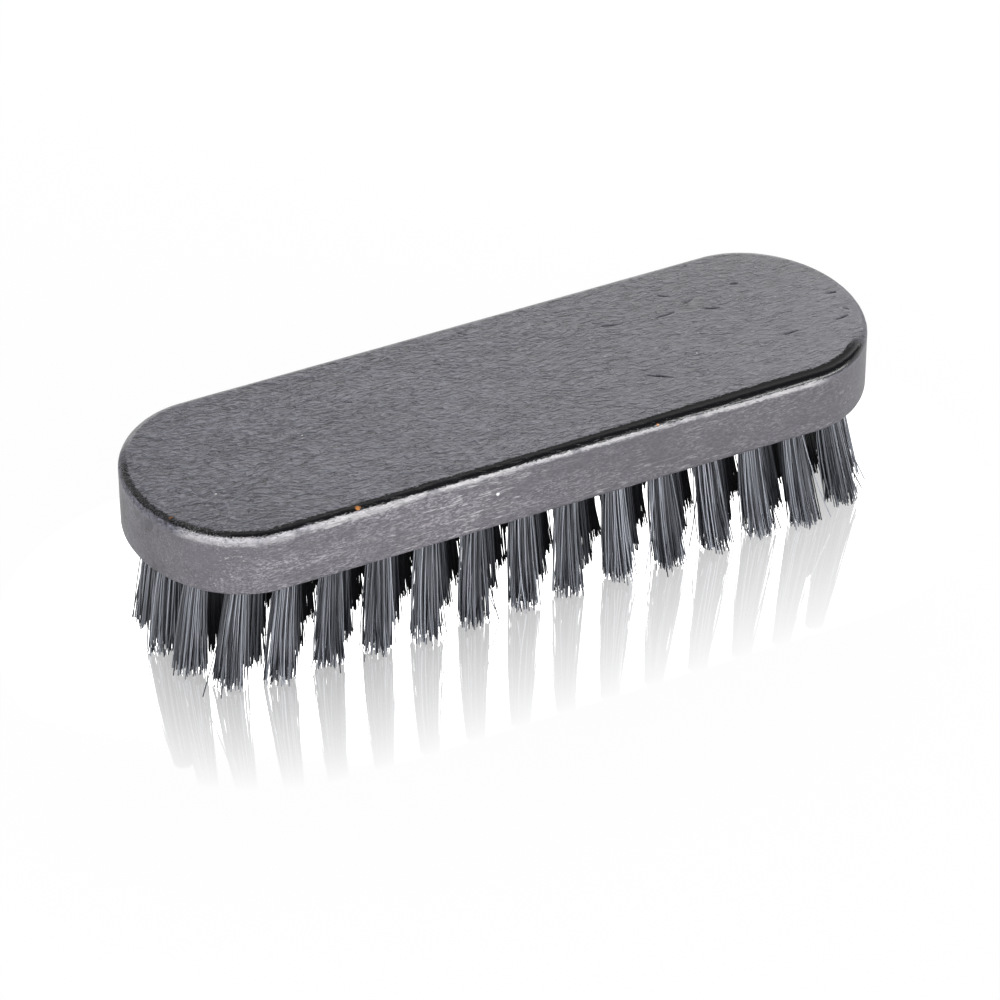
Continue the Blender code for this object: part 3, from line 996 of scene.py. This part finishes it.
    # thickness, and a map in which every strand has its own strip
    radius = times(tree, given["Strand Diameter"], 0.5)
    sides = addNode(tree, "GeometryNodeCurvePrimitiveCircle",
                    {"Resolution": given["Strand Sides"], "Radius": radius}).outputs[0]
    turned = addNode(tree, "GeometryNodeSplineParameter").outputs["Factor"]
    around = captured(sides, {"Around": ("FLOAT", turned)})
    tubes = addNode(tree, "GeometryNodeCurveToMesh",
                    {"Curve": bentKept[0], "Profile Curve": around[0], "Fill Caps": True}).outputs[0]
    smooth = addNode(tree, "GeometryNodeSetShadeSmooth", {0: tubes, "Shade Smooth": True}).outputs[0]
    across = added(tree, kept["Strand"], remap(tree, around["Around"], *pattern["mapAround"], smooth=False))
    high = added(tree, kept["Tuft"], remap(tree, bentKept["Along"], *pattern["mapAlong"], smooth=False))
    mapPlace = combined(sums(tree, "DIVIDE", across, given["Strands"]),
                        sums(tree, "DIVIDE", high, given["Tufts"]))
    mapped = stored(smooth, "OFBake", mapPlace, "FLOAT2", "CORNER")
    whole = addNode(tree, "GeometryNodeRealizeInstances", {0: mapped}).outputs[0]
    finished = addNode(tree, "GeometryNodeSetMaterial", {0: whole, "Material": given["Material"]}).outputs[0]
    addNode(tree, "NodeGroupOutput", {0: finished})
    return tree


tuftTree = makeTuftTree(strandPattern)

# towards the left end the two middle rows lean together, so that no light comes between them
closingRows = {"inner_row_2": 0.040, "inner_row_3": -0.048}
closingFrom = 12.0 * mm
closingSpan = 35.0 * mm


def makeTufts(name, places, seed, closing, changes):
    draw = random.Random(seed)
    mesh = bpy.data.meshes.new(name)
    mesh.from_pydata([(x, y, underside) for x, y in places], [], [])
    leans, turns = [], []
    for x, y in places:
        uneven = tuftField["unevenLean"]
        share = min(max((closingFrom - x) / closingSpan, 0.0), 1.0)
        leans += [leanAt(x) + closing * share + draw.gauss(0, uneven), draw.gauss(0, uneven), -1.0]
        turns.append(draw.uniform(0, 60))
    mesh.attributes.new("lean", "FLOAT_VECTOR", "POINT").data.foreach_set("vector", leans)
    mesh.attributes.new("turn", "FLOAT", "POINT").data.foreach_set("value", turns)
    source = bpy.data.objects.new(name + "Source", mesh)
    bpy.context.scene.collection.objects.link(source)
    modifier = source.modifiers.new("tufts", "NODES")
    modifier.node_group = tuftTree
    settings = {**nylonTufts, "Tufts": len(places), "Seed": seed, "Material": nylonMaterial, **changes}
    for item in tuftTree.interface.items_tree:
        if item.in_out == "INPUT" and item.name in settings:
            modifier[item.identifier] = settings[item.name]
    evaluated = source.evaluated_get(bpy.context.evaluated_depsgraph_get())
    made = bpy.data.meshes.new_from_object(evaluated)
    made.name = name
    bpy.data.objects.remove(source)
    tufts = bpy.data.objects.new(name, made)
    bpy.context.scene.collection.objects.link(tufts)
    return tufts


# painted shade: the inner rows keep little of the pale strand tone, the row next to the front some
innerTufts = {"Fade": 0.03, "Stray Share": 0.0, "Looseness": 0.35 * mm}
nextToFront = {**innerTufts, "Fade": 0.40}
rearTufts = {"Stray Reach": 0.8 * mm}
rearFrom = 8.0 * mm
firstSeed, seedStep = 100, 7

strandFaces = 0
for k, (node, places) in enumerate(tuftNodes.items()):
    words = node.split("_")
    name = words[0] + "".join(word.capitalize() for word in words[1:])
    inner = len(places) > 1
    rear = not inner and places[0][1] > rearFrom
    changes = nextToFront if node == "inner_row_1" else innerTufts if inner else rearTufts if rear else {}
    tufts = makeTufts(name, places, firstSeed + seedStep * k, closingRows.get(node, 0.0), changes)
    tufts.visible_glossy = not inner and not rear
    strandFaces += len(tufts.data.polygons)
    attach(tufts, "root")
    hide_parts(node)
print("tufts made:", strandFaces, "faces")


# floor and backdrop: white, with a mirror image of the bristles that fades away

floorLook = {
    "size": 6.0,
    "glow": 0.94,  # share of the white that no shadow darkens
    "plain": 0.8,  # what lights the brush from below
    "glossyGlow": (0.0, 22.0, 0.03, 1.2),  # painted shadow: what the brush's own gloss shows of the floor, dark near the brush and brighter than white away from it
    "mirrorCore": (50.0, 20.0),  # mm: half length and radius of the patch round which the image fades
    "mirrorAlong": (-60.0, 60.0, 0.54, 0.405),
    "mirrorFade": (-3.0, 30.0, 1.0, 0.0),
    "fadePower": 0.9,
    "mirrorRoughness": 0.035,
}


def makeFloor(look):
    mesh = bpy.data.meshes.new("floor")
    half = look["size"] / 2
    corners = [(-half, -half, 0), (half, -half, 0), (half, half, 0), (-half, half, 0)]
    mesh.from_pydata(corners, [], [(0, 1, 2, 3)])
    floor = bpy.data.objects.new("floor", mesh)
    bpy.context.scene.collection.objects.link(floor)
    material, tree, shader = newMaterial("whiteFloor")
    tree.nodes.remove(shader)
    rays = addNode(tree, "ShaderNodeLightPath").outputs
    split = addNode(tree, "ShaderNodeSeparateXYZ", {0: placeInMm(tree)}).outputs
    coreLength, coreRadius = look["mirrorCore"]
    over = sums(tree, "SUBTRACT", sums(tree, "ABSOLUTE", split[0]), coreLength)
    over = sums(tree, "MAXIMUM", over, 0.0)
    away = addNode(tree, "ShaderNodeCombineXYZ", {0: over, 1: split[1]}).outputs[0]
    distance = sums(tree, "SUBTRACT", vectors(tree, "LENGTH", away), coreRadius)
    faded = sums(tree, "POWER", remap(tree, distance, *look["mirrorFade"], smooth=False), look["fadePower"])
    share = times(tree, faded, remap(tree, split[0], *look["mirrorAlong"]), rays["Is Camera Ray"])

    def glowing(strength):
        return addNode(tree, "ShaderNodeEmission", {"Color": grey(1.0), "Strength": strength}).outputs[0]

    def matt(level):
        return addNode(tree, "ShaderNodeBsdfDiffuse", {"Color": grey(level)}).outputs[0]

    def mixed(factor, first, second):
        return addNode(tree, "ShaderNodeMixShader", {0: factor, 1: first, 2: second}).outputs[0]

    glow = look["glow"]
    seen = addNode(tree, "ShaderNodeAddShader", {0: glowing(glow), 1: matt(1.0 - glow)}).outputs[0]
    # glossy rays see the floor glow, dimmed near the brush as a painted shadow
    bright = glowing(remap(tree, distance, *look["glossyGlow"]))
    unseen = mixed(rays["Is Glossy Ray"], matt(look["plain"]), bright)
    mirror = addNode(tree, "ShaderNodeBsdfGlossy",
                     {"Color": grey(1.0), "Roughness": look["mirrorRoughness"]})
    surface = mixed(share, mixed(rays["Is Camera Ray"], unseen, seen), mirror.outputs[0])
    tree.links.new(surface, tree.nodes["Material Output"].inputs["Surface"])
    mesh.materials.append(material)


makeFloor(floorLook)

roomLook = {
    "ambient": 0.38,  # what lights matt surfaces from all round
    "shown": (0.0, 0.35, 1.0, 0.03),  # what glossy surfaces show, from the horizon up
    "backdropWay": (0.366, 0.729, 0.579),  # where a level mirror shows the backdrop
    "backdropEdge": (0.84, 0.92),
}


def makeRoom(look):
    world = bpy.data.worlds.new("whiteRoom")
    world.use_nodes = True
    tree = world.node_tree
    tree.nodes.clear()
    rays = addNode(tree, "ShaderNodeLightPath").outputs
    way = addNode(tree, "ShaderNodeTexCoord").outputs["Generated"]
    height = addNode(tree, "ShaderNodeSeparateXYZ", {0: way}).outputs[2]
    backdrop = remap(tree, vectors(tree, "DOT_PRODUCT", way, look["backdropWay"]), *look["backdropEdge"])
    shown = sums(tree, "MAXIMUM", remap(tree, height, *look["shown"]), backdrop)
    mirrored = mixNumbers(tree, rays["Is Glossy Ray"], look["ambient"], shown)
    seen = mixNumbers(tree, rays["Is Camera Ray"], mirrored, 1.0)
    background = addNode(tree, "ShaderNodeBackground", {"Color": grey(1.0), "Strength": seen})
    addNode(tree, "ShaderNodeOutputWorld", {0: background.outputs[0]})
    bpy.context.scene.world = world


makeRoom(roomLook)


# lamps: azimuth and elevation of each, seen from the brush, with its reach in degrees

lamps = {
    "rearSoftbox": {"azimuth": 140.0, "elevation": 27.0, "wide": 60.0, "tall": 30.0,
                    "radiance": 3.6, "distance": 0.45},
    "frontStrip": {"azimuth": 12.0, "elevation": 8.0, "wide": 105.0, "tall": 14.0,
                   "radiance": 11.0, "distance": 0.9},
    "leftStrip": {"azimuth": -66.0, "elevation": 9.0, "wide": 40.0, "tall": 14.0,
                  "radiance": 12.0, "distance": 0.5},
}
aimHeight = 25.0 * mm


def addLamp(name, settings):
    distance = settings["distance"]
    way = wayTowards(settings["azimuth"], settings["elevation"])
    data = bpy.data.lights.new(name, "AREA")
    data.shape = "RECTANGLE"
    data.size = 2 * distance * math.tan(math.radians(settings["wide"] / 2))
    data.size_y = 2 * distance * math.tan(math.radians(settings["tall"] / 2))
    data.energy = settings["radiance"] * math.pi * data.size * data.size_y
    lamp = bpy.data.objects.new(name, data)
    lamp.location = Vector((0.0, 0.0, aimHeight)) + way * distance
    lamp.rotation_mode = "QUATERNION"
    lamp.rotation_quaternion = way.to_track_quat("Z", "Y")
    lamp.visible_camera = False
    bpy.context.scene.collection.objects.link(lamp)


for name, settings in lamps.items():
    addLamp(name, settings)

bpy.context.scene.view_settings.view_transform = "Standard"
print("floor, room and lamps made")
